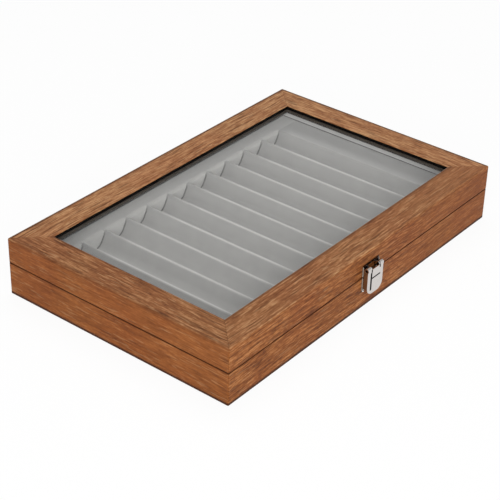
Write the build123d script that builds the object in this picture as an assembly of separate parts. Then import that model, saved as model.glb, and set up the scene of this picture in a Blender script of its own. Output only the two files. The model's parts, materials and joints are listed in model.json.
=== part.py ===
from build123d import *
import math
import os

os.makedirs("parts", exist_ok=True)

# Pen storage box: a flat wooden case whose glazed lid is hinged over a bed of pen channels.
# Sizes are in millimetres. The origin is at the centre of the underside, +X runs along the
# long side, the latch is on the -Y side, the hinges are on the +Y side and +Z is up.

# Case
BOX_LENGTH = 340.0
BOX_WIDTH = 218.0
BOX_HEIGHT = 50.0
PARTING_HEIGHT = 28.4
PARTING_GAP = 0.3
WALL = 8.0
EDGE_RADIUS = 1.2
ARRIS = 0.4
FIT = 0.2

# Bottom of the base
BOTTOM_THICKNESS = 3.0
FELT_THICKNESS = 0.8
BOTTOM_REBATE = 4.0

# Glazed lid
RAIL_WIDTH = 25.0
RAIL_OVER_GLASS = 3.1
GLASS_THICKNESS = 2.0
GLASS_LAP = 5.0
RETAINER_THICKNESS = 2.8
LINING_THICKNESS = 1.2

# Pen bed
CHANNEL_COUNT = 11
CHANNEL_PITCH = 25.0
CHANNEL_LENGTH = 172.0
CHANNEL_DEPTH = 12.2
CHANNEL_RADIUS = 8.0
RIDGE_WIDTH = 1.5
CREST_WEB = 4.0
BED_SETBACK = 1.0
BED_FLOOR = 2.0
BED_SEAM = 0.6
END_ROUNDING = 3.0

# Latch, measured out from the front face of the wood
LATCH_WIDTH = 21.0
LATCH_METAL = 0.8
LATCH_GAP = 0.3
HASP_TOP = 38.8
STRIKE_BOTTOM = 15.0
PLATE_SETBACK = 0.5
PLATE_CORNER = 2.0
HASP_BORDER = 1.2
FLAP_WIDTH = 20.0
FLAP_BOTTOM = 12.9
FLAP_CORNER = 7.0
FLAP_EDGE_RADIUS = 0.64
PIVOT_HEIGHT = 35.2
LATCH_KNUCKLE_RADIUS = 2.1
LATCH_KNUCKLE_LENGTH = 4.0
LATCH_PIN_RADIUS = 0.9
EAR_RADIUS = 1.7
WINDOW_DROP = 2.4
RUNNING_FIT = 0.05
STRIKE_TAB_HEIGHT = 20.0
STRIKE_TAB_WIDTH = 7.0
STRIKE_TAB_REACH = 3.4
NOSE_RADIUS = 0.25
HOOK_WIDTH = 6.0
HOOK_GRIP = 1.9
CREASE_WIDTH = 0.8
CREASE_DEPTH = 0.25
CREASE_OFFSET = 5.9
CREASE_HEIGHT = 27.3
CREASE_REACH = 6.0
CREASE_FOOT = 4.0

# Butt hinges
HINGE_INSET = 65.0
HINGE_LENGTH = 30.0
HINGE_KNUCKLE_RADIUS = 2.0
HINGE_PIN_RADIUS = 0.9
HINGE_METAL = 0.9
HINGE_LEAF_DEPTH = 6.5
HINGE_MIDDLE_SHARE = 3

# Screws
HINGE_SCREW_HEAD = 1.6
HINGE_SCREW_SHANK = 0.75
HINGE_SCREW_LENGTH = 8.0
HINGE_SCREW_SPACING = 18.0
LATCH_SCREW_HEAD = 1.5
LATCH_SCREW_HEAD_HEIGHT = 0.7
LATCH_SCREW_BEVEL = 0.35
LATCH_SCREW_SHANK = 0.7
LATCH_SCREW_LENGTH = 6.0
LATCH_SCREW_SPACING = 13.6
PILOT_CLEARANCE = 0.05

# Heights and places that follow from the sizes above
BASE_TOP = PARTING_HEIGHT - PARTING_GAP / 2
LID_BOTTOM = PARTING_HEIGHT + PARTING_GAP / 2
GLASS_TOP = BOX_HEIGHT - RAIL_OVER_GLASS
GLASS_BOTTOM = GLASS_TOP - GLASS_THICKNESS
PANEL_TOP = FELT_THICKNESS + BOTTOM_THICKNESS
BED_TOP = BASE_TOP - BED_SETBACK
BED_UNDERSIDE = BED_TOP - CHANNEL_DEPTH - BED_FLOOR
BED_INSET = WALL + BED_SEAM
CHANNEL_HALF = (CHANNEL_PITCH - RIDGE_WIDTH) / 2
CHANNEL_BOTTOM = BED_TOP - CHANNEL_DEPTH
FLANK_RISE = CHANNEL_DEPTH - CHANNEL_RADIUS
FLANK_ANGLE = math.atan2(FLANK_RISE, CHANNEL_HALF) \
    + math.asin(CHANNEL_RADIUS / math.hypot(CHANNEL_HALF, FLANK_RISE))
CREST_RADIUS = RIDGE_WIDTH / 2 / math.tan(FLANK_ANGLE / 2)
FRONT = -BOX_WIDTH / 2
BACK = BOX_WIDTH / 2
PIVOT_OUT = LATCH_METAL + LATCH_GAP + LATCH_KNUCKLE_RADIUS
FLAP_FACE = PIVOT_OUT + LATCH_KNUCKLE_RADIUS
FLAP_BACK = LATCH_METAL + LATCH_GAP
WINDOW_HALF = FLAP_WIDTH / 2 - LATCH_KNUCKLE_LENGTH
EAR_OUTER = WINDOW_HALF - LATCH_GAP
EAR_INNER = EAR_OUTER - LATCH_METAL
HINGE_AXIS_Y = BACK + HINGE_KNUCKLE_RADIUS + PARTING_GAP

BOTTOM_UP = (Align.CENTER, Align.CENTER, Align.MIN)
SAME_LEVEL = 1e-4


def slab(inset, bottom, top):
    """A block over the box's plan, set in from its outline."""
    length = BOX_LENGTH - 2 * inset
    width = BOX_WIDTH - 2 * inset
    return Pos(0, 0, bottom) * Box(length, width, top - bottom, align=BOTTOM_UP)


def ring(outer_inset, inner_inset, bottom, top):
    """A rectangular frame between two insets from the box's outline."""
    return slab(outer_inset, bottom, top) - slab(inner_inset, bottom, top)


def block(x_range, y_range, z_range):
    """A block between two corners, given by its range along each axis."""
    size = [high - low for low, high in (x_range, y_range, z_range)]
    middle = [(high + low) / 2 for low, high in (x_range, y_range, z_range)]
    return Pos(*middle) * Box(*size)


def mitre_wedge(side):
    """The part of the plan that belongs to one side once the corners are mitred."""
    half_length = BOX_LENGTH / 2 + WALL
    half_width = BOX_WIDTH / 2 + WALL
    middle = half_length - half_width
    outlines = {
        "front": [(-half_length, -half_width), (half_length, -half_width), (middle, 0), (-middle, 0)],
        "back": [(half_length, half_width), (-half_length, half_width), (-middle, 0), (middle, 0)],
        "right": [(half_length, -half_width), (half_length, half_width), (middle, 0)],
        "left": [(-half_length, half_width), (-half_length, -half_width), (-middle, 0)],
    }
    return extrude(make_face(Polyline(*outlines[side], close=True)), amount=BOX_HEIGHT)


def mitred(frame, prefix, suffix):
    """Cuts a frame into its four mitred members."""
    names = ("front", "back", "left", "right")
    return {f"{prefix}_{side}_{suffix}": frame & mitre_wedge(side) for side in names}


def standing_corners(solid):
    """The four upright edges at the corners of the box."""
    upright = solid.edges().filter_by(Axis.Z)
    return upright.filter_by(lambda edge: abs(abs(edge.center().X) - BOX_LENGTH / 2) < FIT / 2
                             and abs(abs(edge.center().Y) - BOX_WIDTH / 2) < FIT / 2)


def base_frame():
    """The four base walls in one ring, rebated below for the bottom panel."""
    foot = ring(0, WALL - BOTTOM_REBATE, 0, PANEL_TOP)
    frame = foot + ring(0, WALL, PANEL_TOP, BASE_TOP)
    frame = fillet(standing_corners(frame), EDGE_RADIUS)
    frame = chamfer(outline_loop(frame, 0), ARRIS)
    return chamfer(outline_loop(frame, BASE_TOP), ARRIS)


def lid_frame():
    """The lid's side walls and window rails in one ring, rebated below for the glass."""
    frame = ring(0, WALL, LID_BOTTOM, GLASS_BOTTOM)
    frame += ring(0, RAIL_WIDTH - GLASS_LAP - FIT, GLASS_BOTTOM, GLASS_TOP)
    frame += ring(0, RAIL_WIDTH, GLASS_TOP, BOX_HEIGHT)
    frame = fillet(standing_corners(frame), EDGE_RADIUS)
    frame = fillet(outline_loop(frame, BOX_HEIGHT), EDGE_RADIUS)
    frame = chamfer(outline_loop(frame, LID_BOTTOM), ARRIS)
    return chamfer(window_loop(frame), ARRIS)


def level_edges(solid, height):
    """Every edge of a frame that lies at one height."""
    return solid.edges().filter_by(lambda edge: abs(edge.bounding_box().min.Z - height) < SAME_LEVEL
                                   and abs(edge.bounding_box().max.Z - height) < SAME_LEVEL)


def outline_loop(solid, height):
    """The edges of a frame's outermost loop at one height."""
    return level_edges(solid, height).filter_by(
        lambda edge: abs(edge.center().X) > BOX_LENGTH / 2 - EDGE_RADIUS
        or abs(edge.center().Y) > BOX_WIDTH / 2 - EDGE_RADIUS)


def window_loop(solid):
    """The edges round the lid's window at the top."""
    return level_edges(solid, BOX_HEIGHT).filter_by(
        lambda edge: abs(edge.center().X) < BOX_LENGTH / 2 - RAIL_WIDTH + FIT
        and abs(edge.center().Y) < BOX_WIDTH / 2 - RAIL_WIDTH + FIT)


def channel_centre(index):
    """The X of a channel, counted from the left."""
    return (index - (CHANNEL_COUNT - 1) / 2) * CHANNEL_PITCH


def arc_about(x, z, radius, turn):
    """An arc of X and Z from straight below its centre, or straight above for a negative radius."""
    angles = (0, turn / 2, turn)
    return ThreePointArc(*[(x + radius * math.sin(angle), z - radius * math.cos(angle)) for angle in angles])


def half_channel(centre_x, side):
    """One side of a channel in section: the round bottom, the straight flank and the round crest."""
    turn = side * FLANK_ANGLE
    bottom = arc_about(centre_x, CHANNEL_BOTTOM + CHANNEL_RADIUS, CHANNEL_RADIUS, turn)
    crest = arc_about(centre_x + side * CHANNEL_PITCH / 2, BED_TOP - CREST_RADIUS, -CREST_RADIUS, turn)
    return [bottom, Line(bottom @ 1, crest @ 1), crest]


def run_along(curves, y_low, y_high):
    """Runs a closed outline of X and Z along Y, between two places."""
    plane = Plane(origin=(0, y_high, 0), x_dir=(1, 0, 0), z_dir=(0, -1, 0))
    return extrude(plane * make_face(curves), amount=y_high - y_low)


def channel_space(centre_x, y_low, y_high):
    """The open space of one channel, from crest to crest, over a range of Y."""
    left = (centre_x - CHANNEL_PITCH / 2, BED_TOP)
    right = (centre_x + CHANNEL_PITCH / 2, BED_TOP)
    outline = [*half_channel(centre_x, -1), *half_channel(centre_x, 1), Line(left, right)]
    return run_along(outline, y_low, y_high)


def end_seams(centre_x, side):
    """The open seams at both ends of one side of a channel, which stop short of the crest."""
    near = centre_x
    far = centre_x + side * (CHANNEL_PITCH - CREST_WEB) / 2
    across = (min(near, far), max(near, far))
    half = CHANNEL_LENGTH / 2
    levels = (BED_UNDERSIDE, BED_TOP)
    return [block(across, (-half, BED_SEAM - half), levels), block(across, (half - BED_SEAM, half), levels)]


def ridge_bar(index):
    """The bar between two neighbouring channels, from the lowest line of one to that of the next."""
    left = channel_centre(index)
    right = channel_centre(index + 1)
    foot = Polyline((left, CHANNEL_BOTTOM), (left, BED_UNDERSIDE), (right, BED_UNDERSIDE), (right, CHANNEL_BOTTOM))
    outline = [*half_channel(left, 1), *half_channel(right, -1), foot]
    bar = run_along(outline, -CHANNEL_LENGTH / 2, CHANNEL_LENGTH / 2)
    for seam in end_seams(left, 1) + end_seams(right, -1):
        bar -= seam
    return bar


def bed_edge_strip(side):
    """The outer half of the last channel with the flat margin beside it, on the left or right."""
    inner = side * channel_centre(CHANNEL_COUNT - 1)
    outer = side * (BOX_LENGTH / 2 - BED_INSET)
    crest = inner + side * CHANNEL_PITCH / 2
    margin = Polyline((crest, BED_TOP), (outer, BED_TOP), (outer, BED_UNDERSIDE), (inner, BED_UNDERSIDE),
                      (inner, CHANNEL_BOTTOM))
    strip = run_along([*half_channel(inner, side), margin], -CHANNEL_LENGTH / 2, CHANNEL_LENGTH / 2)
    for seam in end_seams(inner, side):
        strip -= seam
    return strip


def bed_end_strip(side):
    """The flat strip across the ends of the channels, its lip rounded over where a channel meets it."""
    near = CHANNEL_LENGTH / 2
    far = BOX_WIDTH / 2 - BED_INSET
    half = BOX_LENGTH / 2 - BED_INSET
    strip = block((-half, half), (near, far), (BED_UNDERSIDE, BED_TOP))
    lip = block((-half, half), (near, near + END_ROUNDING), (BED_TOP - END_ROUNDING, BED_TOP))
    lip -= cross_rod(END_ROUNDING, -half, half, near + END_ROUNDING, BED_TOP - END_ROUNDING)
    for index in range(CHANNEL_COUNT):
        strip -= channel_space(channel_centre(index), near, near + END_ROUNDING) & lip
    return strip if side > 0 else mirror(strip, about=Plane.XZ)


def on_front(sketch, near, far):
    """Stands a sketch of X and Z on the front of the box, between two distances out from the wood."""
    plane = Plane(origin=(0, FRONT - near, 0), x_dir=(1, 0, 0), z_dir=(0, -1, 0))
    return extrude(plane * sketch, amount=far - near)


def panel_outline(half_width, bottom, top, corner, at_top):
    """A rectangle of X and Z with its two top or two bottom corners rounded."""
    corners = [(-half_width, bottom), (half_width, bottom), (half_width, top), (-half_width, top)]
    face = make_face(Polyline(*corners, close=True))
    rounded = face.vertices().group_by(Axis.Y)[-1 if at_top else 0]
    return fillet(rounded, corner)


def cross_rod(radius, x_low, x_high, y, z):
    """A round rod along X."""
    rod = Rot(0, 90, 0) * Cylinder(radius, x_high - x_low)
    return Pos((x_low + x_high) / 2, y, z) * rod


def both_sides(solid):
    """A solid and its mirror image across the middle of the box."""
    return [solid, mirror(solid, about=Plane.YZ)]


def pivot_rod(radius, x_low, x_high):
    """A rod along X on the flap's pivot."""
    return cross_rod(radius, x_low, x_high, FRONT - PIVOT_OUT, PIVOT_HEIGHT)


def latch_screw_places(height):
    """Where the two screws of a latch plate stand: X and Z."""
    return [(side * LATCH_SCREW_SPACING / 2, height) for side in (-1, 1)]


def latch_screw(x, z, clearance):
    """A small pan-head screw through a latch plate into the wood, or the hole for its shank."""
    shank = Rot(90, 0, 0) * Cylinder(LATCH_SCREW_SHANK + clearance, LATCH_SCREW_LENGTH)
    shank = Pos(x, FRONT + LATCH_SCREW_LENGTH / 2 - LATCH_METAL, z) * shank
    if clearance:
        return shank
    head = Rot(90, 0, 0) * Cylinder(LATCH_SCREW_HEAD, LATCH_SCREW_HEAD_HEIGHT)
    head = chamfer(head.edges().sort_by(Axis.Y)[0], LATCH_SCREW_BEVEL)
    head = Pos(x, FRONT - LATCH_METAL - LATCH_SCREW_HEAD_HEIGHT / 2, z) * head
    return head + shank


def latch_plate(bottom, top, at_top, screw_height):
    """One flat plate of the latch, with its free corners rounded and its two screw holes."""
    outline = panel_outline(LATCH_WIDTH / 2, bottom, top, PLATE_CORNER, at_top)
    plate = on_front(outline, 0, LATCH_METAL)
    for x, z in latch_screw_places(screw_height):
        plate -= latch_screw(x, z, PILOT_CLEARANCE)
    return plate


HASP_BOTTOM = LID_BOTTOM + PLATE_SETBACK
STRIKE_TOP = BASE_TOP - PLATE_SETBACK
HASP_SCREW_HEIGHT = HASP_BOTTOM + LATCH_SCREW_HEAD + PLATE_SETBACK
STRIKE_SCREW_HEIGHT = (STRIKE_TAB_HEIGHT + STRIKE_TOP) / 2


def hasp_plate():
    """The plate on the lid, with two ears bent out of its window that carry the flap's pivot pins."""
    plate = latch_plate(HASP_BOTTOM, HASP_TOP, True, HASP_SCREW_HEIGHT)
    plate -= block((-EAR_INNER, EAR_INNER), (FRONT - LATCH_METAL, FRONT),
                   (HASP_BOTTOM + HASP_BORDER, HASP_TOP - HASP_BORDER))
    ear = block((EAR_INNER, EAR_OUTER), (FRONT - PIVOT_OUT, FRONT - LATCH_METAL),
                (PIVOT_HEIGHT - EAR_RADIUS, PIVOT_HEIGHT + EAR_RADIUS))
    ear += pivot_rod(EAR_RADIUS, EAR_INNER, EAR_OUTER)
    ear -= pivot_rod(LATCH_PIN_RADIUS, EAR_INNER, EAR_OUTER)
    for solid in both_sides(ear):
        plate += solid
    return plate


def strike_plate():
    """The plate on the base, with a tab bent out of it that the flap hooks under."""
    plate = latch_plate(STRIKE_BOTTOM, STRIKE_TOP, False, STRIKE_SCREW_HEIGHT)
    half_tab = STRIKE_TAB_WIDTH / 2
    tab_top = STRIKE_TAB_HEIGHT + LATCH_METAL
    slot_top = tab_top + STRIKE_TAB_REACH - LATCH_METAL
    plate -= block((-half_tab, half_tab), (FRONT - LATCH_METAL, FRONT), (tab_top, slot_top))
    tab = block((-half_tab, half_tab), (FRONT - STRIKE_TAB_REACH, FRONT), (STRIKE_TAB_HEIGHT, tab_top))
    nose = tab.edges().filter_by(Axis.X).sort_by(Axis.Y)[:2]
    return plate + fillet(nose, NOSE_RADIUS)


def latch_pins():
    """The two short pins that join the flap's rolled knuckles to the ears."""
    inner = EAR_INNER - FIT
    outer = FLAP_WIDTH / 2 - FIT / 2
    return both_sides(pivot_rod(LATCH_PIN_RADIUS, inner, outer))


def crease(x_range, z_range):
    """A shallow pressed line in the flap's face."""
    return block(x_range, (FRONT - FLAP_FACE, FRONT - FLAP_FACE + CREASE_DEPTH), z_range)


def latch_flap():
    """The pressed flap: a dished plate with two rolled knuckles above and a hook behind."""
    half = FLAP_WIDTH / 2
    shell = on_front(panel_outline(half, FLAP_BOTTOM, PIVOT_HEIGHT, FLAP_CORNER, False), FLAP_BACK, FLAP_FACE)
    face_loop = shell.faces().sort_by(Axis.Y)[0].edges()
    shell = fillet(face_loop.sort_by(Axis.Z)[:-1], FLAP_EDGE_RADIUS)
    hollow = panel_outline(half - LATCH_METAL, FLAP_BOTTOM + LATCH_METAL, PIVOT_HEIGHT,
                           FLAP_CORNER - LATCH_METAL, False)
    flap = shell - on_front(hollow, FLAP_BACK, FLAP_FACE - LATCH_METAL)
    for solid in both_sides(pivot_rod(LATCH_KNUCKLE_RADIUS, WINDOW_HALF, half)):
        flap += solid
    flap -= block((-WINDOW_HALF, WINDOW_HALF), (FRONT - FLAP_FACE, FRONT - FLAP_BACK),
                  (PIVOT_HEIGHT - WINDOW_DROP, PIVOT_HEIGHT))
    tongue = EAR_INNER - LATCH_GAP
    flap += block((-tongue, tongue), (FRONT - FLAP_FACE, FRONT - FLAP_FACE + LATCH_METAL),
                  (PIVOT_HEIGHT - WINDOW_DROP, PIVOT_HEIGHT))
    flap -= pivot_rod(LATCH_PIN_RADIUS + RUNNING_FIT, -half, half)
    half_line = CREASE_WIDTH / 2
    flap -= crease((-CREASE_OFFSET - half_line, -CREASE_OFFSET + half_line),
                   (FLAP_BOTTOM + CREASE_FOOT, PIVOT_HEIGHT - WINDOW_DROP))
    flap -= crease((-CREASE_OFFSET, CREASE_REACH), (CREASE_HEIGHT - half_line, CREASE_HEIGHT + half_line))
    hook_top = STRIKE_TAB_HEIGHT - LATCH_GAP
    hook_tip = STRIKE_TAB_REACH - HOOK_GRIP
    hook = block((-HOOK_WIDTH / 2, HOOK_WIDTH / 2), (FRONT - FLAP_FACE + LATCH_METAL, FRONT - hook_tip),
                 (hook_top - LATCH_METAL, hook_top))
    tip = hook.edges().filter_by(Axis.X).sort_by(Axis.Y)[-2:]
    return flap + fillet(tip, NOSE_RADIUS)


def hinge_screw_places(centre_x):
    """The X of the two screws of a hinge leaf."""
    return [centre_x + side * HINGE_SCREW_SPACING / 2 for side in (-1, 1)]


HINGE_SCREW_Y = BACK - HINGE_LEAF_DEPTH / 2


def hinge_screw(x, surface, direction, clearance):
    """A countersunk screw that runs up or down from a leaf's open face, or the hole for it."""
    head = Cone(HINGE_SCREW_SHANK, HINGE_SCREW_HEAD, HINGE_METAL) if direction < 0 \
        else Cone(HINGE_SCREW_HEAD, HINGE_SCREW_SHANK, HINGE_METAL)
    head = Pos(x, HINGE_SCREW_Y, surface + direction * HINGE_METAL / 2) * head
    shank = Cylinder(HINGE_SCREW_SHANK + clearance, HINGE_SCREW_LENGTH)
    shank = Pos(x, HINGE_SCREW_Y, surface + direction * HINGE_SCREW_LENGTH / 2) * shank
    return head + shank


def hinge_rod(radius, x_low, x_high):
    """A rod along X on the lid's hinge axis."""
    return cross_rod(radius, x_low, x_high, HINGE_AXIS_Y, PARTING_HEIGHT)


def hinge_leaf(centre_x, direction):
    """One leaf with its rolled knuckles: direction -1 is let into the base, +1 into the lid."""
    surface = BASE_TOP if direction < 0 else LID_BOTTOM
    levels = sorted((surface, surface + direction * HINGE_METAL))
    half = HINGE_LENGTH / 2
    middle = HINGE_LENGTH / HINGE_MIDDLE_SHARE / 2
    leaf = block((centre_x - half, centre_x + half), (BACK - HINGE_LEAF_DEPTH, BACK), levels)
    spans = [(-middle, middle)]
    if direction < 0:
        spans = [(-half, -middle - PARTING_GAP), (middle + PARTING_GAP, half)]
    for low, high in spans:
        span = (centre_x + low, centre_x + high)
        leaf += block(span, (BACK, HINGE_AXIS_Y), levels)
        leaf += hinge_rod(HINGE_KNUCKLE_RADIUS, *span)
    leaf -= hinge_rod(HINGE_PIN_RADIUS + RUNNING_FIT, centre_x - half, centre_x + half)
    for x in hinge_screw_places(centre_x):
        leaf -= hinge_screw(x, surface, direction, 0)
    return leaf


def hinge_recess(direction):
    """What both hinges take out of the base's or the lid's back wall."""
    surface = BASE_TOP if direction < 0 else LID_BOTTOM
    levels = sorted((surface, surface + direction * HINGE_METAL))
    half = HINGE_LENGTH / 2
    cut = []
    for centre_x in hinge_centres:
        cut.append(block((centre_x - half, centre_x + half), (BACK - HINGE_LEAF_DEPTH, BACK), levels))
        cut += [hinge_screw(x, surface, direction, PILOT_CLEARANCE) for x in hinge_screw_places(centre_x)]
    return cut


hinge_centres = (HINGE_INSET - BOX_LENGTH / 2, BOX_LENGTH / 2 - HINGE_INSET)
nodes = {}

# Base
nodes.update(mitred(base_frame(), "base", "wall"))
for tool in hinge_recess(-1):
    nodes["base_back_wall"] -= tool
for x, z in latch_screw_places(STRIKE_SCREW_HEIGHT):
    nodes["base_front_wall"] -= latch_screw(x, z, PILOT_CLEARANCE)
panel_inset = WALL - BOTTOM_REBATE + FIT
nodes["bottom_panel"] = slab(panel_inset, FELT_THICKNESS, PANEL_TOP)
nodes["underside_felt"] = slab(panel_inset, 0, FELT_THICKNESS)
nodes["bed_core"] = slab(BED_INSET, PANEL_TOP, BED_UNDERSIDE)
nodes["bed_ridge_bars"] = [ridge_bar(index) for index in range(CHANNEL_COUNT - 1)]
nodes["bed_left_edge_strip"] = bed_edge_strip(-1)
nodes["bed_right_edge_strip"] = bed_edge_strip(1)
nodes["bed_front_end_strip"] = bed_end_strip(-1)
nodes["bed_back_end_strip"] = bed_end_strip(1)
nodes["latch_strike_plate"] = strike_plate()
nodes["latch_strike_screws"] = [latch_screw(x, z, 0) for x, z in latch_screw_places(STRIKE_SCREW_HEIGHT)]

# Lid
nodes.update(mitred(lid_frame(), "lid", "rail"))
for tool in hinge_recess(1):
    nodes["lid_back_rail"] -= tool
for x, z in latch_screw_places(HASP_SCREW_HEIGHT):
    nodes["lid_front_rail"] -= latch_screw(x, z, PILOT_CLEARANCE)
nodes["glass_pane"] = slab(RAIL_WIDTH - GLASS_LAP, GLASS_BOTTOM, GLASS_TOP)
retainer = ring(WALL + LINING_THICKNESS, RAIL_WIDTH, GLASS_BOTTOM - RETAINER_THICKNESS, GLASS_BOTTOM)
nodes.update(mitred(retainer, "glass", "retainer"))
lining = ring(WALL, WALL + LINING_THICKNESS, LID_BOTTOM, GLASS_BOTTOM)
nodes.update(mitred(lining, "lid", "lining"))
nodes["latch_hasp_plate"] = hasp_plate()
nodes["latch_hasp_screws"] = [latch_screw(x, z, 0) for x, z in latch_screw_places(HASP_SCREW_HEIGHT)]
nodes["latch_pivot_pins"] = latch_pins()

# Hinges
for name, centre in zip(("left", "right"), hinge_centres):
    nodes[f"{name}_hinge_base_leaf"] = hinge_leaf(centre, -1)
    nodes[f"{name}_hinge_lid_leaf"] = hinge_leaf(centre, 1)
half_hinge = HINGE_LENGTH / 2
nodes["hinge_pins"] = [hinge_rod(HINGE_PIN_RADIUS, c - half_hinge, c + half_hinge) for c in hinge_centres]
screw_xs = [x for c in hinge_centres for x in hinge_screw_places(c)]
nodes["hinge_base_screws"] = [hinge_screw(x, BASE_TOP, -1, 0) for x in screw_xs]
nodes["hinge_lid_screws"] = [hinge_screw(x, LID_BOTTOM, 1, 0) for x in screw_xs]

# Flap
nodes["latch_flap"] = latch_flap()

for name, shape in nodes.items():
    if isinstance(shape, list):
        shape = Compound(children=shape)
    export_step(shape, f"parts/{name}.step")
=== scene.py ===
import json
import math

import bpy
from mathutils import Matrix, Vector


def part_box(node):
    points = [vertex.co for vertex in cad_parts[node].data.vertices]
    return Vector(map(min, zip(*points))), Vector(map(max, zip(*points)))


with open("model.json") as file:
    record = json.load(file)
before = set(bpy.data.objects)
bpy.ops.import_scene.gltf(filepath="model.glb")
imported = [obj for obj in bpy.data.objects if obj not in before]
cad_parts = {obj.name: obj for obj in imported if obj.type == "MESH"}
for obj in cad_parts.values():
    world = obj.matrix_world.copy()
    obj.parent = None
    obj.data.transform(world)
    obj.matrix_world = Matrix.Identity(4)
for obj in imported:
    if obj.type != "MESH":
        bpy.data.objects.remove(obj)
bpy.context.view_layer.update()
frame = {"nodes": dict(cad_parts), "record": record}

# The pen storage box at the photograph's angle. Lengths are in metres, in the frame of the part.
nodes = frame["nodes"]
slots = {part["node"]: part["material_slot"] for part in frame["record"]["subparts"]}
X, Y, Z = 0, 1, 2

# Camera, from the box's outline in the photograph, with the lens and the sensor in millimetres
CAMERA_AZIMUTH = math.radians(-52.01)
CAMERA_ELEVATION = math.radians(32.35)
CAMERA_ROLL = math.radians(1.56)
CAMERA_DISTANCE = 1.2302
CAMERA_LENS = 109.02
SENSOR_WIDTH = 36.0
CLIP_NEAR = 0.05
CLIP_FAR = 30.0
BOX_RIGHT_OF_CENTRE = 0.00633
BOX_ABOVE_CENTRE = -0.00267

# Surroundings: the floor, the light from all round, and the backdrop that the camera sees
FLOOR_HALF = 4.0
FLOOR_WHITE = (0.9, 0.9, 0.9, 1)
SHADOW_SHARE = 0.09
LIGHT_HEIGHTS = (-0.1, 0.9)
LIGHT_BELOW = (0.25, 0.25, 0.25, 1)
LIGHT_BESIDE = (0.30, 0.30, 0.30, 1)
LIGHT_ABOVE = (0.40, 0.40, 0.40, 1)
WHITE = (1, 1, 1, 1)
BACKDROP_HEIGHTS = (0.25, 0.5)
BACKDROP_ABOVE = (0.57, 0.57, 0.57, 1)

# Places on the case. A point closer than SAME_PLACE to a face counts as on it.
SAME_PLACE = 0.00006
EDGE_ROUNDING = 0.0012
rail_low, rail_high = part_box("lid_front_rail")
side_low, side_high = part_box("lid_left_rail")
HALF_LENGTH = -side_low.x
HALF_WIDTH = -rail_low.y
BOX_TOP = rail_high.z
WINDOW_HALF_LENGTH = -side_high.x
WINDOW_HALF_WIDTH = -rail_high.y
INNER_HALF_LENGTH = -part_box("base_left_wall")[1].x
INNER_HALF_WIDTH = -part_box("base_front_wall")[1].y
PARTING_HEIGHT = (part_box("base_front_wall")[1].z + rail_low.z) / 2
GLASS_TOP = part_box("glass_pane")[1].z
RETAINER_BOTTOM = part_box("glass_back_retainer")[0].z

# Bands on the case, each from where a mask is 0 to where it is 1. The first and the last are heights, the
# second is along X, and the others are distances past a side or off a line.
TOP_FACES = (BOX_TOP - EDGE_ROUNDING, BOX_TOP - EDGE_ROUNDING / 3)
RIGHT_END = (HALF_LENGTH * 0.1, HALF_LENGTH * 0.8)
OUTER_FACES = (-0.0012, -0.0005)
OUTER_EDGE_SHADE = (-0.0032, -0.0020)
MITRE_LINE = (0.0005, 0.0001)
PARTING_SHADE_LINE = (0.0010, 0.0003)
FOOT_SHADOW_LINE = (0.0031, 0.0018)
ARRIS_HIGHLIGHT_LINE = (0.0007, 0.0002)
RETAINER_SHADOW_BAND = (RETAINER_BOTTOM + 0.0013, RETAINER_BOTTOM + 0.0005)

# Reach and softness of the other marks on the case
OUTER_EDGE_SHADE_HEIGHT = 0.0018
BESIDE_WINDOW = (0.0003, 0.0024)
EDGE_SOFTNESS = 0.0006
LATCH_SHADE_REACH = 0.0006
LATCH_SHADE_SOFTNESS = 0.0008
CUT_SOFTNESS = 0.0002

# Places on the pen bed, and bands on it from where a mask is 0 to where it is 1
CREST_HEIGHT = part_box("bed_ridge_bars")[1].z
CHANNEL_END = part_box("bed_ridge_bars")[1].y
RIDGE_HALF_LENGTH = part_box("bed_ridge_bars")[1].x
CREST = (CREST_HEIGHT - 0.0011, CREST_HEIGHT - 0.0003)
CREST_BEFORE_END = (CHANNEL_END - 0.010, CHANNEL_END - 0.040)
CREASE_BELOW_CREST = (CREST_HEIGHT + 0.0005, CREST_HEIGHT - 0.005)
CREASE_AT_END = (CHANNEL_END - 0.0026, CHANNEL_END - 0.0010)
LIT_NEAR_WALL = (-0.011, -0.001)

# Places on the latch
LATCH_KNUCKLE_RADIUS = 0.0021
FLAP_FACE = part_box("latch_flap")[0].y
FLAP_HALF_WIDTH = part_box("latch_flap")[1].x
PIVOT_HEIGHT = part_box("latch_flap")[1].z - LATCH_KNUCKLE_RADIUS
PIVOT_Y = FLAP_FACE + LATCH_KNUCKLE_RADIUS
FLAP_FRONT = FLAP_FACE + 0.0005
FLAP_SIDE_FROM_X = FLAP_HALF_WIDTH - 0.0002
FLAP_SIDE_FROM_Y = FLAP_FACE + 0.0009
FLAP_SIDE_TOP = PIVOT_HEIGHT - 0.0016
KNUCKLE_HOLLOW = (0.0014, 0.0012)
PLATE_HALF_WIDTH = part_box("latch_hasp_plate")[1].x
PLATE_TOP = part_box("latch_hasp_plate")[1].z
PLATE_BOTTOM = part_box("latch_strike_plate")[0].z
PLATE_FACE = -HALF_WIDTH - 0.0008
PLATE_EDGE = 0.0003
BEHIND_KNUCKLES = (PIVOT_HEIGHT - 0.0045, PIVOT_HEIGHT - 0.0025)
HASP_WINDOW_HALF_WIDTH = 0.0049
HASP_WINDOW_TOP = PLATE_TOP - 0.0012

# The two lines pressed into the flap: an upright one, and a level one that starts from it
UPRIGHT_X = -0.0059
UPRIGHT_BOTTOM = 0.0169
UPRIGHT_TOP = PIVOT_HEIGHT - 0.0024
UPRIGHT_HALF_WIDTH = 0.0011
LEVEL_HEIGHT = 0.0273
LEVEL_END = 0.0060
LEVEL_HALF_WIDTH = UPRIGHT_HALF_WIDTH * 0.6
LINE_SOFTNESS = 0.0003
LINE_END_SOFTNESS = 0.0010

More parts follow.
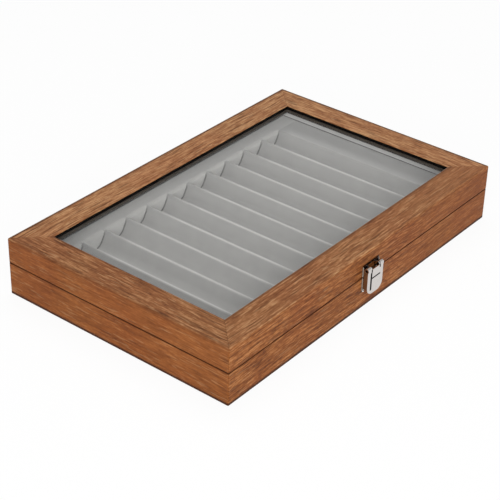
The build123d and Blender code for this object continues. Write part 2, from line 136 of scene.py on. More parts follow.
# How strongly each thing shows, where 1 is full, and what late wood adds to the tone of the figure
TOP_CONTRAST = 0.95
SIDE_MARKS = 0.45
TOP_MARKS = 0.90
LATE_WOOD_TONE = -0.13
REDDER_SHARE = 0.15
PORE_SHARE = 0.55
PORE_DEPTH = 0.8
FLECK_SHARE = 0.33
MITRE_SHARE = 0.35
PARTING_SHADE_SHARE = 0.82
FOOT_SHADOW_SHARE = 0.90
BESIDE_WINDOW_SHARE = 0.65
LATCH_SHADE_SHARE = 0.8
LATCH_SHADE_IN_WINDOW = 0.35
LIT_NEAR_WALL_SHARE = 0.55
SHEEN_SHARE = 0.17
CREST_HIGHLIGHT_SHARE = 0.30
CREASE_SHADE_SHARE = 0.85
RETAINER_SHADOW_SHARE = 0.88
PLATE_SHADE_SHARE = 0.92
DULL_METAL = 0.85

# Levels of a noise or a ring, each from where the mark it gives is 0 to where it is 1
LATE_WOOD = (0.60, 1.0)
PORES = (0.59, 0.67)
FLECKS = (0.60, 0.69)
REDDER_PATCHES = (0.40, 0.62)

# How far suede has to be turned from the view for its painted sheen to make it lighter
SEEN_ALONG_FOR_SHEEN = (0.17, 0.42)

# Roughness, from the smoothest place to the roughest
WOOD_ROUGHNESS = (0.42, 0.62)
HINGE_ROUGHNESS = (0.10, 0.24)
LATCH_ROUGHNESS = (0.08, 0.20)
STEEL_ROUGHNESS = (0.22, 0.38)
DARK_STEEL_ROUGHNESS = (0.25, 0.40)

# How many growth rings a slow noise gives, how far the grain wavers from its line, and how fine the
# wear of metal is, as the scale of a noise
GROWTH_RINGS = 30.0
GRAIN_WAVER = 0.009
CHROME_WEAR = 300.0
STEEL_WEAR = 900.0


def rgb(red, green, blue):
    """A colour given by its 0 to 255 values on screen, as the linear colour that shaders take."""
    def linear(value):
        value /= 255
        return value / 12.92 if value <= 0.04045 else ((value + 0.055) / 1.055) ** 2.4
    return (linear(red), linear(green), linear(blue), 1.0)


# Colours. Where there are three, they go from the darkest to the lightest.
# The top's colours are paler than the sides', which paints the sheen of the light from above on it.
WOOD_ON_TOP_WITH_SHEEN = (rgb(97, 55, 30), rgb(146, 98, 63), rgb(195, 149, 106))
WOOD_ON_SIDES = (rgb(92, 46, 16), rgb(140, 83, 41), rgb(186, 127, 77))
REDDER_BROWN = rgb(150, 78, 38)
PORE_BROWN = rgb(62, 32, 16)
FLECK_TAN = rgb(212, 170, 124)
JOINT_AND_GAP_SHADE_BROWN = rgb(44, 18, 5)
FOOT_SHADOW_BROWN = rgb(54, 25, 10)
LATCH_SHADE_BROWN = rgb(30, 14, 6)
OUTER_EDGE_SHADE_BROWN = rgb(70, 36, 20)
BESIDE_WINDOW_BROWN = rgb(60, 32, 20)
ARRIS_HIGHLIGHT_GREY = rgb(205, 200, 193)
BLACK_PAINT = rgb(6, 5, 4)
GREY_PAINT = rgb(100, 98, 95)
# The margins' and the linings' suede is the channels' suede made lighter, which paints the light that falls
# on them.
MARGIN_SUEDE_LIT = (rgb(169, 168, 165), rgb(187, 186, 182), rgb(203, 202, 198))
CHANNEL_SUEDE = (rgb(140, 139, 137), rgb(158, 157, 154), rgb(176, 175, 171))
LINING_SUEDE_LIT = (rgb(204, 203, 200), rgb(218, 217, 214), rgb(232, 231, 228))
SUEDE_LIT_NEAR_WALL = rgb(214, 213, 210)
SUEDE_SHEEN = rgb(245, 244, 240)
SUEDE_CREASE_SHADE = rgb(66, 65, 64)
RETAINER_BLACK_WITH_GLARE = (rgb(70, 65, 60), rgb(86, 80, 73), rgb(102, 95, 87))
RETAINER_EDGE_SHADOW = rgb(17, 15, 14)
FELT = (rgb(22, 22, 24), rgb(36, 36, 38), rgb(58, 57, 58))
PLYWOOD = (rgb(176, 140, 98), rgb(205, 172, 128), rgb(222, 194, 152))
GLASS = rgb(252, 252, 252)
GLASS_SHADOW = rgb(246, 246, 246)
HINGE_CHROME = rgb(220, 218, 215)
PLATE_CHROME = rgb(226, 224, 221)
PLATE_SHADE = rgb(62, 40, 27)
PLATE_EDGE_GLINT = rgb(150, 138, 127)
FLAP_CHROME = rgb(206, 201, 197)
FLAP_LINE_SHADE = rgb(10, 9, 8)
FLAP_SIDE_REFLECTED_BROWN = rgb(92, 60, 38)
STEEL = rgb(190, 190, 188)
PIN_SHADE_STEEL = rgb(38, 37, 37)


def add(tree, kind, inputs=None, **settings):
    """Adds a shader node, sets its properties, and links or sets its inputs by name or number."""
    node = tree.nodes.new("ShaderNode" + kind)
    for key, value in settings.items():
        setattr(node, key, value)
    for key, value in (inputs or {}).items():
        if isinstance(value, bpy.types.NodeSocket):
            tree.links.new(value, node.inputs[key])
        else:
            node.inputs[key].default_value = value
    return node


def noise(tree, vector, scale, detail=2.0, roughness=0.5):
    """Noise of about one spot per 1/scale metres."""
    inputs = {"Vector": vector, "Scale": scale, "Detail": detail, "Roughness": roughness}
    return add(tree, "TexNoise", inputs).outputs["Fac"]


def calculate(tree, operation, first, second=0.0, third=0.0, clamp=False):
    """The result of a sum on numbers or masks."""
    inputs = {0: first, 1: second, 2: third}
    return add(tree, "Math", inputs, operation=operation, use_clamp=clamp).outputs[0]


def between(tree, value, low, high):
    """0 where the value is at low, 1 where it is at high, smooth in between. Low may be above high."""
    inputs = {"Value": value, "From Min": low, "From Max": high}
    return add(tree, "MapRange", inputs, interpolation_type="SMOOTHSTEP").outputs[0]


def spread(tree, value, low, high):
    """A value from 0 to 1, laid out from low to high."""
    return add(tree, "MapRange", {"Value": value, "To Min": low, "To Max": high}).outputs[0]


def all_of(tree, first, *others):
    """The product of several masks."""
    for other in others:
        first = calculate(tree, "MULTIPLY", first, other)
    return first


def blend(tree, factor, first, second, blend_type="MIX"):
    """The first colour where the factor is 0, and the second where it is 1."""
    inputs = {0: factor, 6: first, 7: second}
    return add(tree, "Mix", inputs, data_type="RGBA", blend_type=blend_type).outputs[2]


def paint(tree, colour, over, *masks):
    """A colour with another one over it, as strongly as all the masks say."""
    return blend(tree, all_of(tree, *masks), colour, over)


def ramp(tree, factor, dark, middle, light):
    """A colour that goes from dark through middle to light as the factor goes from 0 to 1."""
    node = add(tree, "ValToRGB", {0: factor})
    elements = node.color_ramp.elements
    elements.new(0.5)
    for element, position, colour in zip(elements, (0.0, 0.5, 1.0), (dark, middle, light)):
        element.position = position
        element.color = colour
    return node.outputs[0]


def new_material(name):
    """An empty material, its node tree and its output node."""
    material = bpy.data.materials.new(name)
    material.use_nodes = True
    tree = material.node_tree
    tree.nodes.clear()
    return material, tree, add(tree, "OutputMaterial")


def surface(tree, output, **inputs):
    """A Principled shader on the output, with its sockets set or linked by name."""
    named = {key.replace("_", " "): value for key, value in inputs.items()}
    shader = add(tree, "BsdfPrincipled", named)
    tree.links.new(shader.outputs[0], output.inputs[0])
    return shader


def bump(tree, height, distance, strength):
    """The shading of a relief whose height goes from 0 to 1 over a distance."""
    inputs = {"Height": height, "Distance": distance, "Strength": strength}
    return add(tree, "Bump", inputs).outputs[0]


def place_on_object(tree):
    """The place of a point in the frame of the part, which it keeps when a joint moves its piece."""
    return add(tree, "TexCoord").outputs["Object"]


def along_axis(tree, vector, axis):
    """One coordinate of a place."""
    return add(tree, "SeparateXYZ", {0: vector}).outputs[axis]


def size_along(tree, vector, axis):
    """The distance from the middle of the box along one axis of a place."""
    return calculate(tree, "ABSOLUTE", along_axis(tree, vector, axis))


def facing_away(tree):
    """0 where the surface faces the view, 1 where it is seen along itself, for the sheen of suede."""
    return add(tree, "LayerWeight", {"Blend": 0.5}).outputs["Facing"]


def within(tree, value, low, high, soft):
    """1 where the value lies from low to high, falling to 0 over a soft edge on each side."""
    from_middle = calculate(tree, "ABSOLUTE", calculate(tree, "SUBTRACT", value, (low + high) / 2))
    return between(tree, from_middle, (high - low) / 2 + soft / 2, (high - low) / 2 - soft / 2)


def past_rectangle(tree, place, half_length, half_width):
    """How far a place lies outside a rectangle round the middle of the box, seen from above."""
    past_length = calculate(tree, "SUBTRACT", size_along(tree, place, X), half_length)
    past_width = calculate(tree, "SUBTRACT", size_along(tree, place, Y), half_width)
    return calculate(tree, "MAXIMUM", past_length, past_width)


def seen_by_view(tree):
    """1 where something is seen, straight, mirrored or through glass, and 0 where it lights other things."""
    path = add(tree, "LightPath")
    seen = calculate(tree, "MAXIMUM", path.outputs["Is Camera Ray"], path.outputs["Is Glossy Ray"])
    return calculate(tree, "MAXIMUM", seen, path.outputs["Is Transmission Ray"])


def stretched(tree, vector, along, share):
    """A place drawn out along the grain: share is how often a pattern changes along it."""
    scale = [1.0, 1.0, 1.0]
    scale[along] = share
    return add(tree, "Mapping", {"Vector": vector, "Scale": scale}).outputs[0]


def wavered(tree, place, along):
    """A place moved aside a little, by more or less along the grain, so that the grain runs in waves."""
    slow = stretched(tree, place, along, share=0.35)
    waver = add(tree, "TexNoise", {"Vector": slow, "Scale": 20.0, "Detail": 2.0}).outputs["Color"]
    waver = add(tree, "VectorMath", {0: waver, 1: (-0.5, -0.5, -0.5)}, operation="ADD").outputs[0]
    waver = add(tree, "VectorMath", {0: waver, "Scale": GRAIN_WAVER}, operation="SCALE").outputs[0]
    return add(tree, "VectorMath", {0: place, 1: waver}, operation="ADD").outputs[0]


def figure(tree, place, along, seed):
    """The tone of the wood's figure, centred on 0, its dark pores, its light flecks and its fibres."""
    start = (seed, seed * 0.7, seed * 0.3)
    shifted = add(tree, "Mapping", {"Vector": place, "Location": start}).outputs[0]
    wavy = wavered(tree, shifted, along)

    def drawn_out(share, scale, detail=1.0, roughness=0.5, vector=wavy):
        return noise(tree, stretched(tree, vector, along, share), scale, detail, roughness)

    blotches = drawn_out(share=0.4, scale=60.0, detail=3.0)
    bands = drawn_out(share=0.08, scale=120.0)
    streaks = drawn_out(share=0.045, scale=420.0, detail=3.0, roughness=0.6)
    fibres = drawn_out(share=0.08, scale=900.0, detail=2.0, roughness=0.6)
    specks = drawn_out(share=0.35, scale=800.0)
    tone = 0.0
    for part, weight in ((blotches, 0.23), (bands, 0.25), (streaks, 0.85), (fibres, 1.35), (specks, 0.55)):
        tone = calculate(tree, "MULTIPLY_ADD", calculate(tree, "SUBTRACT", part, 0.5), weight, tone)

    # Growth rings are the contour lines of a slow noise, dark on one side
    rings = calculate(tree, "MULTIPLY", drawn_out(share=0.16, scale=18.0), GROWTH_RINGS)
    late_wood = between(tree, calculate(tree, "FRACT", rings), *LATE_WOOD)
    tone = calculate(tree, "MULTIPLY_ADD", late_wood, LATE_WOOD_TONE, tone)

    pores = between(tree, drawn_out(share=0.06, scale=600.0, roughness=0.6), *PORES)
    flecks = between(tree, drawn_out(share=0.10, scale=640.0, roughness=0.6, vector=shifted), *FLECKS)
    return tone, pores, flecks, fibres


def latch_shade_mask(tree, place):
    """Painted shade on the wood: a thin line of it round the latch's plates, and fainter in the hasp's
    window.
    """
    across = along_axis(tree, place, X)
    height = along_axis(tree, place, Z)
    on_face = calculate(tree, "LESS_THAN", along_axis(tree, place, Y), SAME_PLACE - HALF_WIDTH)
    half = PLATE_HALF_WIDTH + LATCH_SHADE_REACH
    round_plates = all_of(tree, on_face, within(tree, across, -half, half, LATCH_SHADE_SOFTNESS),
                          within(tree, height, PLATE_BOTTOM, PLATE_TOP + LATCH_SHADE_REACH, LATCH_SHADE_SOFTNESS))
    window_half = HASP_WINDOW_HALF_WIDTH
    in_window = all_of(tree, on_face, within(tree, across, -window_half, window_half, CUT_SOFTNESS),
                       within(tree, height, PARTING_HEIGHT, HASP_WINDOW_TOP, CUT_SOFTNESS))
    less = LATCH_SHADE_IN_WINDOW - LATCH_SHADE_SHARE
    return all_of(tree, round_plates, calculate(tree, "MULTIPLY_ADD", in_window, less, LATCH_SHADE_SHARE))


def with_lines(tree, place, colour, edge):
    """The wood with dark joint lines at its mitres, and painted shade along its parting and foot, round the
    latch and along the outer edge of its top.
    """
    height = along_axis(tree, place, Z)
    past_sides = past_rectangle(tree, place, HALF_LENGTH, HALF_WIDTH)
    outside = between(tree, past_sides, *OUTER_FACES)
    off_length = calculate(tree, "SUBTRACT", size_along(tree, place, X), HALF_LENGTH)
    off_width = calculate(tree, "SUBTRACT", size_along(tree, place, Y), HALF_WIDTH)
    off_mitre = calculate(tree, "ABSOLUTE", calculate(tree, "SUBTRACT", off_length, off_width))
    off_parting = calculate(tree, "ABSOLUTE", calculate(tree, "SUBTRACT", height, PARTING_HEIGHT))
    colour = paint(tree, colour, JOINT_AND_GAP_SHADE_BROWN, between(tree, off_mitre, *MITRE_LINE), MITRE_SHARE)
    # Painted shade along the gap between lid and base, on the outer faces.
    parting_shade = between(tree, off_parting, *PARTING_SHADE_LINE)
    colour = paint(tree, colour, JOINT_AND_GAP_SHADE_BROWN, parting_shade, outside, PARTING_SHADE_SHARE)
    # Painted contact shadow along the foot of the walls.
    colour = paint(tree, colour, FOOT_SHADOW_BROWN, between(tree, height, *FOOT_SHADOW_LINE), FOOT_SHADOW_SHARE)
    # Painted shade round the latch's plates.
    colour = paint(tree, colour, LATCH_SHADE_BROWN, latch_shade_mask(tree, place))
    # Painted shade along the rounded outer edge of the top.
    top_edge_shade = within(tree, height, BOX_TOP - OUTER_EDGE_SHADE_HEIGHT, BOX_TOP + OUTER_EDGE_SHADE_HEIGHT, EDGE_SOFTNESS)
    return paint(tree, colour, OUTER_EDGE_SHADE_BROWN, top_edge_shade, between(tree, past_sides, *OUTER_EDGE_SHADE), edge)


def with_paint(tree, place, colour, rim):
    """The wood with a painted highlight on the arris round the window and darker wood beside it, and with
    painted insides.

    The cut faces of the window are black, and the faces towards the inside of the box are dark grey.
    """
    past_window = past_rectangle(tree, place, WINDOW_HALF_LENGTH, WINDOW_HALF_WIDTH)
    beside = within(tree, past_window, *BESIDE_WINDOW, EDGE_SOFTNESS)
    colour = paint(tree, colour, BESIDE_WINDOW_BROWN, beside, rim * BESIDE_WINDOW_SHARE)
    # Painted highlight on the arris of the window.
    colour = paint(tree, colour, ARRIS_HIGHLIGHT_GREY, between(tree, past_window, *ARRIS_HIGHLIGHT_LINE), rim)
    colour = paint(tree, colour, BLACK_PAINT, calculate(tree, "LESS_THAN", past_window, SAME_PLACE))
    past_inside = past_rectangle(tree, place, INNER_HALF_LENGTH, INNER_HALF_WIDTH)
    inside = calculate(tree, "LESS_THAN", past_inside, SAME_PLACE)
    below_glass = calculate(tree, "LESS_THAN", along_axis(tree, place, Z), GLASS_TOP)
    return paint(tree, colour, GREY_PAINT, inside, below_glass)


def veneer(name, along, seed, lightness, side_contrast, rim=0.0, edge=0.0, calm=0.0):
    """Oiled brown veneer with its grain along X or Y.

    lightness is its middle tone from 0 to 1, which differs from side to side to paint how the light falls on
    each, and side_contrast how strong its figure is on the sides.
    rim says how strongly the painted highlight on the arris at the window shows, edge how dark the painted
    shade along the outer edge of the top is, and calm how much fainter the figure is at the right end of the
    box than in the middle.
    """
    material, tree, output = new_material(name)
    place = place_on_object(tree)
    on_top = between(tree, along_axis(tree, place, Z), *TOP_FACES)
    to_right = between(tree, along_axis(tree, place, X), *RIGHT_END)
    strength = calculate(tree, "MULTIPLY_ADD", to_right, -calm, 1.0)
    contrast = calculate(tree, "MULTIPLY_ADD", on_top, TOP_CONTRAST - side_contrast, side_contrast)
    contrast = all_of(tree, contrast, strength)
    marked = calculate(tree, "MULTIPLY_ADD", on_top, TOP_MARKS - SIDE_MARKS, SIDE_MARKS)
    marked = all_of(tree, marked, strength)

    tone, pores, flecks, fibres = figure(tree, place, along, seed)
    tone = calculate(tree, "MULTIPLY_ADD", tone, contrast, lightness, clamp=True)
    # Painted sheen: the top takes the paler colours, the sides the more saturated ones.
    colour = blend(tree, on_top, ramp(tree, tone, *WOOD_ON_SIDES), ramp(tree, tone, *WOOD_ON_TOP_WITH_SHEEN))
    redder = between(tree, noise(tree, place, scale=18.0, detail=1.0), *REDDER_PATCHES)
    colour = blend(tree, all_of(tree, redder, REDDER_SHARE), colour, REDDER_BROWN, "OVERLAY")
    colour = paint(tree, colour, PORE_BROWN, pores, marked, PORE_SHARE)
    colour = paint(tree, colour, FLECK_TAN, flecks, marked, FLECK_SHARE)
    colour = with_lines(tree, place, colour, edge)
    colour = with_paint(tree, place, colour, rim)

    relief = calculate(tree, "SUBTRACT", fibres, calculate(tree, "MULTIPLY", pores, PORE_DEPTH))
    surface(tree, output, Base_Color=colour, Roughness=spread(tree, fibres, *WOOD_ROUGHNESS),
            Specular_IOR_Level=0.1, Normal=bump(tree, relief, distance=0.00012, strength=0.7))
    return material


def suede(name, dark, middle, light, creased=False):
    """Grey suede with a mottled nap, with a painted sheen where it is seen along itself and painted light
    near the walls.

    Where it is creased, it has painted highlights on the crests, and painted shade in the creases at the
    channels' ends.
    """
    material, tree, output = new_material(name)
    place = place_on_object(tree)
    nap = noise(tree, place, scale=1500.0, detail=3.0, roughness=0.6)
    mottle = noise(tree, place, scale=110.0, detail=4.0, roughness=0.6)
    tone = calculate(tree, "ADD", all_of(tree, nap, 0.5), all_of(tree, mottle, 0.5))
    colour = ramp(tree, tone, dark, middle, light)
    past_walls = past_rectangle(tree, place, INNER_HALF_LENGTH, INNER_HALF_WIDTH)
    # Painted light near the walls, where the corners would otherwise be in shade.
    colour = paint(tree, colour, SUEDE_LIT_NEAR_WALL, between(tree, past_walls, *LIT_NEAR_WALL), LIT_NEAR_WALL_SHARE)
    # Painted sheen: lighter where the suede is seen along itself.
    colour = paint(tree, colour, SUEDE_SHEEN, between(tree, facing_away(tree), *SEEN_ALONG_FOR_SHEEN), SHEEN_SHARE)
    if creased:
        height = along_axis(tree, place, Z)
        from_middle = size_along(tree, place, Y)
        on_ridges = calculate(tree, "LESS_THAN", size_along(tree, place, X), RIDGE_HALF_LENGTH)
        on_crest = between(tree, height, *CREST)
        before_end = between(tree, from_middle, *CREST_BEFORE_END)
        # Painted highlight along the crests of the ridges, fading towards the channels' ends.
        colour = paint(tree, colour, SUEDE_SHEEN, on_crest, before_end, on_ridges, CREST_HIGHLIGHT_SHARE)
        # Painted shade in the creases where the channels meet their end walls.
        low = between(tree, height, *CREASE_BELOW_CREST)
        at_end = between(tree, from_middle, *CREASE_AT_END)
        colour = paint(tree, colour, SUEDE_CREASE_SHADE, low, at_end, CREASE_SHADE_SHARE)
    surface(tree, output, Base_Color=colour, Roughness=0.95, Sheen_Weight=0.5, Sheen_Roughness=0.5,
            Specular_IOR_Level=0.1, Normal=bump(tree, nap, distance=0.00025, strength=0.5))
    return material


def retainer_wood_with_glare(name):
    """Satin brown-black wood lifted to a dark grey-brown, a painted glare of the glass over it, with the
    grain just showing and painted shade along its lower edge.
    """
    material, tree, output = new_material(name)
    place = place_on_object(tree)
    fibres = noise(tree, place, scale=700.0, detail=3.0, roughness=0.6)
    low = between(tree, along_axis(tree, place, Z), *RETAINER_SHADOW_BAND)
    # The lifted colour paints the glare of the glass, and the darker lower edge paints the shade under the
    # retainer.
    colour = paint(tree, ramp(tree, fibres, *RETAINER_BLACK_WITH_GLARE), RETAINER_EDGE_SHADOW, low, RETAINER_SHADOW_SHARE)
    surface(tree, output, Base_Color=colour, Roughness=0.55,
            Normal=bump(tree, fibres, distance=0.0001, strength=0.5))
    return material


def clear_glass(name):
    """Window glass that bends the view a little and lets light straight through to what is under it."""
    material, tree, output = new_material(name)
    flow = noise(tree, place_on_object(tree), scale=9.0, detail=1.0)
    glass = surface(tree, output, Base_Color=GLASS, Roughness=0.0, IOR=1.5, Transmission_Weight=1.0,
                    Normal=bump(tree, flow, distance=0.0002, strength=0.02))
    path = add(tree, "LightPath")
    lets_through = calculate(tree, "MAXIMUM", path.outputs["Is Shadow Ray"], path.outputs["Is Diffuse Ray"])
    clear = add(tree, "BsdfTransparent", {"Color": GLASS_SHADOW})
    mixed = add(tree, "MixShader", {0: lets_through, 1: glass.outputs[0], 2: clear.outputs[0]})
    tree.links.new(mixed.outputs[0], output.inputs[0])
    return material


def flap_line_shade(tree, place):
    """The flap's pressed lines and the hollows of its knuckles' ends, painted black as the shade in them."""
    across = along_axis(tree, place, X)
    height = along_axis(tree, place, Z)
    on_face = calculate(tree, "LESS_THAN", along_axis(tree, place, Y), FLAP_FRONT)
    left, right = UPRIGHT_X - UPRIGHT_HALF_WIDTH, UPRIGHT_X + UPRIGHT_HALF_WIDTH
    upright = all_of(tree, within(tree, across, left, right, LINE_SOFTNESS),
                     within(tree, height, UPRIGHT_BOTTOM, UPRIGHT_TOP, LINE_END_SOFTNESS))
    lower, upper = LEVEL_HEIGHT - LEVEL_HALF_WIDTH, LEVEL_HEIGHT + LEVEL_HALF_WIDTH
    level = all_of(tree, within(tree, across, UPRIGHT_X, LEVEL_END, LINE_END_SOFTNESS),
                   within(tree, height, lower, upper, LINE_SOFTNESS))
    lines = all_of(tree, calculate(tree, "MAXIMUM", upright, level), on_face)
    seen_from_side = add(tree, "VectorMath", {0: place, 1: (0.0, 1.0, 1.0)}, operation="MULTIPLY").outputs[0]
    from_pivot = add(tree, "VectorMath", {0: seen_from_side, 1: (0.0, PIVOT_Y, PIVOT_HEIGHT)},
                     operation="DISTANCE").outputs["Value"]
    at_end = calculate(tree, "GREATER_THAN", size_along(tree, place, X), FLAP_HALF_WIDTH - SAME_PLACE)
    hollows = all_of(tree, at_end, between(tree, from_pivot, *KNUCKLE_HOLLOW))
    return calculate(tree, "MAXIMUM", lines, hollows)


def flap_side_reflection(tree, place):
    """The turned-back sides of the flap below its knuckles, which are matt, with a brown that paints the
    shaded wood they reflect.
    """
    at_side = calculate(tree, "GREATER_THAN", size_along(tree, place, X), FLAP_SIDE_FROM_X)
    behind_face = calculate(tree, "GREATER_THAN", along_axis(tree, place, Y), FLAP_SIDE_FROM_Y)
    below_knuckles = calculate(tree, "LESS_THAN", along_axis(tree, place, Z), FLAP_SIDE_TOP)
    return all_of(tree, at_side, behind_face, below_knuckles)


def plate_shade_mask(tree, place):
    """Painted shade and reflected wood on the top of the hasp's plate, behind the knuckles, without its
    edges and ears.
    """
    on_plate = calculate(tree, "GREATER_THAN", along_axis(tree, place, Y), PLATE_FACE - SAME_PLACE)
    off_edge = calculate(tree, "LESS_THAN", size_along(tree, place, X), PLATE_HALF_WIDTH - PLATE_EDGE)
    behind_knuckles = between(tree, along_axis(tree, place, Z), *BEHIND_KNUCKLES)
    return all_of(tree, on_plate, off_edge, behind_knuckles, PLATE_SHADE_SHARE)


def plate_edge_glint(tree, place):
    """The cut edges of the plates at their left and right, which are matt and pale as a painted glint."""
    return calculate(tree, "GREATER_THAN", size_along(tree, place, X), PLATE_HALF_WIDTH - PLATE_EDGE)


def metal(name, colour, roughness, wear_scale, marks=None, edges=None):
    """Bare metal that is rougher and lighter in some places than in others.

    marks and edges are each a mask and its colour: marks for painted shade and reflections on the metal, and
    edges for where it is matt, in a colour that paints a glint or a reflection.
    """
    material, tree, output = new_material(name)
    place = place_on_object(tree)
    wear = noise(tree, place, wear_scale, detail=4.0, roughness=0.6)
    dull = tuple(DULL_METAL * part for part in colour[:3]) + (1,)
    tint = ramp(tree, wear, dull, colour, colour)
    metallic = 1.0
    if marks:
        mask, mark_colour = marks
        # Painted shade and reflections where the marks' mask says.
        tint = paint(tree, tint, mark_colour, mask(tree, place))
    if edges:
        mask, edge_colour = edges
        # Matt edges, in a colour that paints a glint or a reflection.
        matt = mask(tree, place)
        tint = paint(tree, tint, edge_colour, matt)
        metallic = calculate(tree, "SUBTRACT", 1.0, matt)
    dents = noise(tree, place, wear_scale * 0.4, detail=2.0)
    surface(tree, output, Base_Color=tint, Metallic=metallic, Roughness=spread(tree, wear, *roughness),
            Normal=bump(tree, dents, distance=0.0001, strength=0.15))
    return material


def felt(name):
    """Dark pressed felt."""
    material, tree, output = new_material(name)
    hairs = noise(tree, place_on_object(tree), scale=1800.0, detail=4.0, roughness=0.7)
    surface(tree, output, Base_Color=ramp(tree, hairs, *FELT), Roughness=1.0, Sheen_Weight=0.2,
            Sheen_Roughness=0.5, Specular_IOR_Level=0.1,
            Normal=bump(tree, hairs, distance=0.0004, strength=0.8))
    return material


def plywood(name):
    """Pale plywood, unfinished."""
    material, tree, output = new_material(name)
    along_grain = stretched(tree, place_on_object(tree), X, share=0.06)
    lines = noise(tree, along_grain, scale=320.0, detail=4.0, roughness=0.65)
    surface(tree, output, Base_Color=ramp(tree, lines, *PLYWOOD), Roughness=0.7,
            Normal=bump(tree, lines, distance=0.0001, strength=0.5))
    return material


# Finishes, by the side of the box or the material slot that wears them, or by a name of their own
finishes = {
    # The sides' lightness paints how the light falls on each: the back and right are lighter, the left
    # darker.
    "front": veneer("veneer_front", X, seed=0.52, lightness=0.49, side_contrast=1.30, rim=0.75, calm=0.45),
    "back": veneer("veneer_back", X, seed=0.96, lightness=0.62, side_contrast=1.0, edge=0.75),
    "left": veneer("veneer_left", Y, seed=0.48, lightness=0.42, side_contrast=0.60, rim=0.25, edge=0.25),
    "right": veneer("veneer_right", Y, seed=0.33, lightness=0.67, side_contrast=1.0, edge=0.75),
    # The margins and the linings take lighter copies of the suede, as painted light.
    "grey_suede": suede("suede", *MARGIN_SUEDE_LIT),
    "creased_suede_painted_light": suede("creased_suede_painted_light", *CHANNEL_SUEDE, creased=True),
    "lining_suede_lit": suede("lining_suede_lit", *LINING_SUEDE_LIT),
    "blackened_wood": retainer_wood_with_glare("retainer_paint_with_glare"),
    "clear_glass": clear_glass("glass"),
    "polished_chrome": metal("hinge_chrome", HINGE_CHROME, HINGE_ROUGHNESS, CHROME_WEAR),
    "plate_chrome_painted_light": metal("plate_chrome_painted_light", PLATE_CHROME, LATCH_ROUGHNESS, CHROME_WEAR,
                          marks=(plate_shade_mask, PLATE_SHADE), edges=(plate_edge_glint, PLATE_EDGE_GLINT)),
    "flap_chrome_painted_light": metal("flap_chrome_painted_light", FLAP_CHROME, LATCH_ROUGHNESS, CHROME_WEAR,
                         marks=(flap_line_shade, FLAP_LINE_SHADE), edges=(flap_side_reflection, FLAP_SIDE_REFLECTED_BROWN)),
    "steel": metal("steel", STEEL, STEEL_ROUGHNESS, STEEL_WEAR),
    "pin_steel_dark_as_shade": metal("pin_steel_dark_as_shade", PIN_SHADE_STEEL, DARK_STEEL_ROUGHNESS, STEEL_WEAR),
    "dark_felt": felt("felt"),
    "plywood": plywood("plywood"),
}
own_finish = {
    "bed_ridge_bars": "creased_suede_painted_light",
    "bed_left_edge_strip": "creased_suede_painted_light",
    "bed_right_edge_strip": "creased_suede_painted_light",
    "latch_hasp_plate": "plate_chrome_painted_light",
    "latch_strike_plate": "plate_chrome_painted_light",
    "latch_flap": "flap_chrome_painted_light",
    # The pins are near-black, which paints the shade at the knuckles' ends.
    "latch_pivot_pins": "pin_steel_dark_as_shade",
}


def finish_of(node):
    """The finish of a node: veneered wood takes its side's, and the rest their own or their slot's."""
    if slots[node] == "veneered_wood":
        return finishes[node.split("_")[1]]
    if node.endswith("_lining"):
        return finishes["lining_suede_lit"]
    return finishes[own_finish.get(node, slots[node])]


for node, thing in nodes.items():
    thing.data.materials.clear()
    thing.data.materials.append(finish_of(node))


def make_floor():
    """A white floor that keeps a faint shadow of the box."""
    mesh = bpy.data.meshes.new("floor")
    half = FLOOR_HALF
    corners = [(-half, -half, 0), (half, -half, 0), (half, half, 0), (-half, half, 0)]
    mesh.from_pydata(corners, [], [(0, 1, 2, 3)])
    floor = bpy.data.objects.new("floor", mesh)
    bpy.context.scene.collection.objects.link(floor)
    material, tree, output = new_material("white_floor")
    matt = add(tree, "BsdfDiffuse", {"Color": FLOOR_WHITE})
    white = add(tree, "Emission", {"Color": WHITE, "Strength": 1.0})
    white_share = all_of(tree, seen_by_view(tree), 1 - SHADOW_SHARE)
    lit = add(tree, "MixShader", {0: white_share, 1: matt.outputs[0], 2: white.outputs[0]})
    tree.links.new(lit.outputs[0], output.inputs[0])
    mesh.materials.append(material)


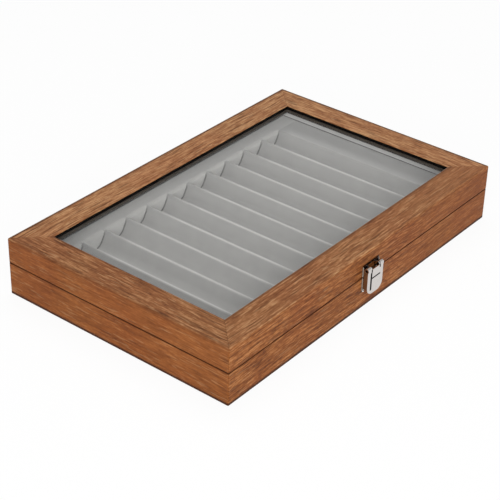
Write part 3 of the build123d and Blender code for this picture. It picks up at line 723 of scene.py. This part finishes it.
def make_world():
    """Soft light from all round, stronger from above, and a backdrop that is white and greyer higher up."""
    world = bpy.data.worlds.new("studio")
    bpy.context.scene.world = world
    world.use_nodes = True
    tree = world.node_tree
    tree.nodes.clear()
    output = add(tree, "OutputWorld")
    direction = add(tree, "TexCoord").outputs["Generated"]
    height = along_axis(tree, direction, Z)
    light = ramp(tree, between(tree, height, *LIGHT_HEIGHTS), LIGHT_BELOW, LIGHT_BESIDE, LIGHT_ABOVE)
    backdrop = blend(tree, between(tree, height, *BACKDROP_HEIGHTS), WHITE, BACKDROP_ABOVE)
    colour = blend(tree, seen_by_view(tree), light, backdrop)
    background = add(tree, "Background", {"Color": colour, "Strength": 1.0})
    tree.links.new(background.outputs[0], output.inputs[0])


def make_lamp(name, azimuth, elevation, distance, size, level):
    """A square soft box aimed at the box, and not mirrored in it or in its glass.

    The angles are in degrees, and a level of 1 lights white as white.
    """
    azimuth = math.radians(azimuth)
    elevation = math.radians(elevation)
    data = bpy.data.lights.new(name, "AREA")
    data.shape = "SQUARE"
    data.size = size
    data.energy = level * (math.pi * distance) ** 2
    lamp = bpy.data.objects.new(name, data)
    across = distance * math.cos(elevation)
    lamp.location = (across * math.sin(azimuth), -across * math.cos(azimuth), distance * math.sin(elevation))
    lamp.rotation_euler = (-lamp.location).to_track_quat("-Z", "Y").to_euler()
    lamp.visible_glossy = False
    lamp.visible_transmission = False
    bpy.context.scene.collection.objects.link(lamp)


def make_camera():
    """The camera at the photograph's angle."""
    azimuth, elevation = CAMERA_AZIMUTH, CAMERA_ELEVATION
    back = Vector((math.sin(azimuth) * math.cos(elevation), -math.cos(azimuth) * math.cos(elevation),
                   math.sin(elevation)))
    level_right = Vector((math.cos(azimuth), math.sin(azimuth), 0))
    level_up = back.cross(level_right)
    right = level_right * math.cos(CAMERA_ROLL) + level_up * math.sin(CAMERA_ROLL)
    up = level_up * math.cos(CAMERA_ROLL) - level_right * math.sin(CAMERA_ROLL)
    place = back * CAMERA_DISTANCE - right * BOX_RIGHT_OF_CENTRE - up * BOX_ABOVE_CENTRE
    data = bpy.data.cameras.new("camera")
    data.lens = CAMERA_LENS
    data.sensor_width = SENSOR_WIDTH
    data.clip_start = CLIP_NEAR
    data.clip_end = CLIP_FAR
    camera = bpy.data.objects.new("camera", data)
    camera.matrix_world = Matrix.Translation(place) @ Matrix((right, up, back)).transposed().to_4x4()
    bpy.context.scene.collection.objects.link(camera)
    bpy.context.scene.camera = camera


make_camera()
make_floor()
make_world()
make_lamp("key", azimuth=-50, elevation=30, distance=2.2, size=1.7, level=0.95)
make_lamp("overhead", azimuth=130, elevation=74, distance=1.6, size=0.9, level=0.30)
bpy.context.scene.view_settings.view_transform = "Standard"
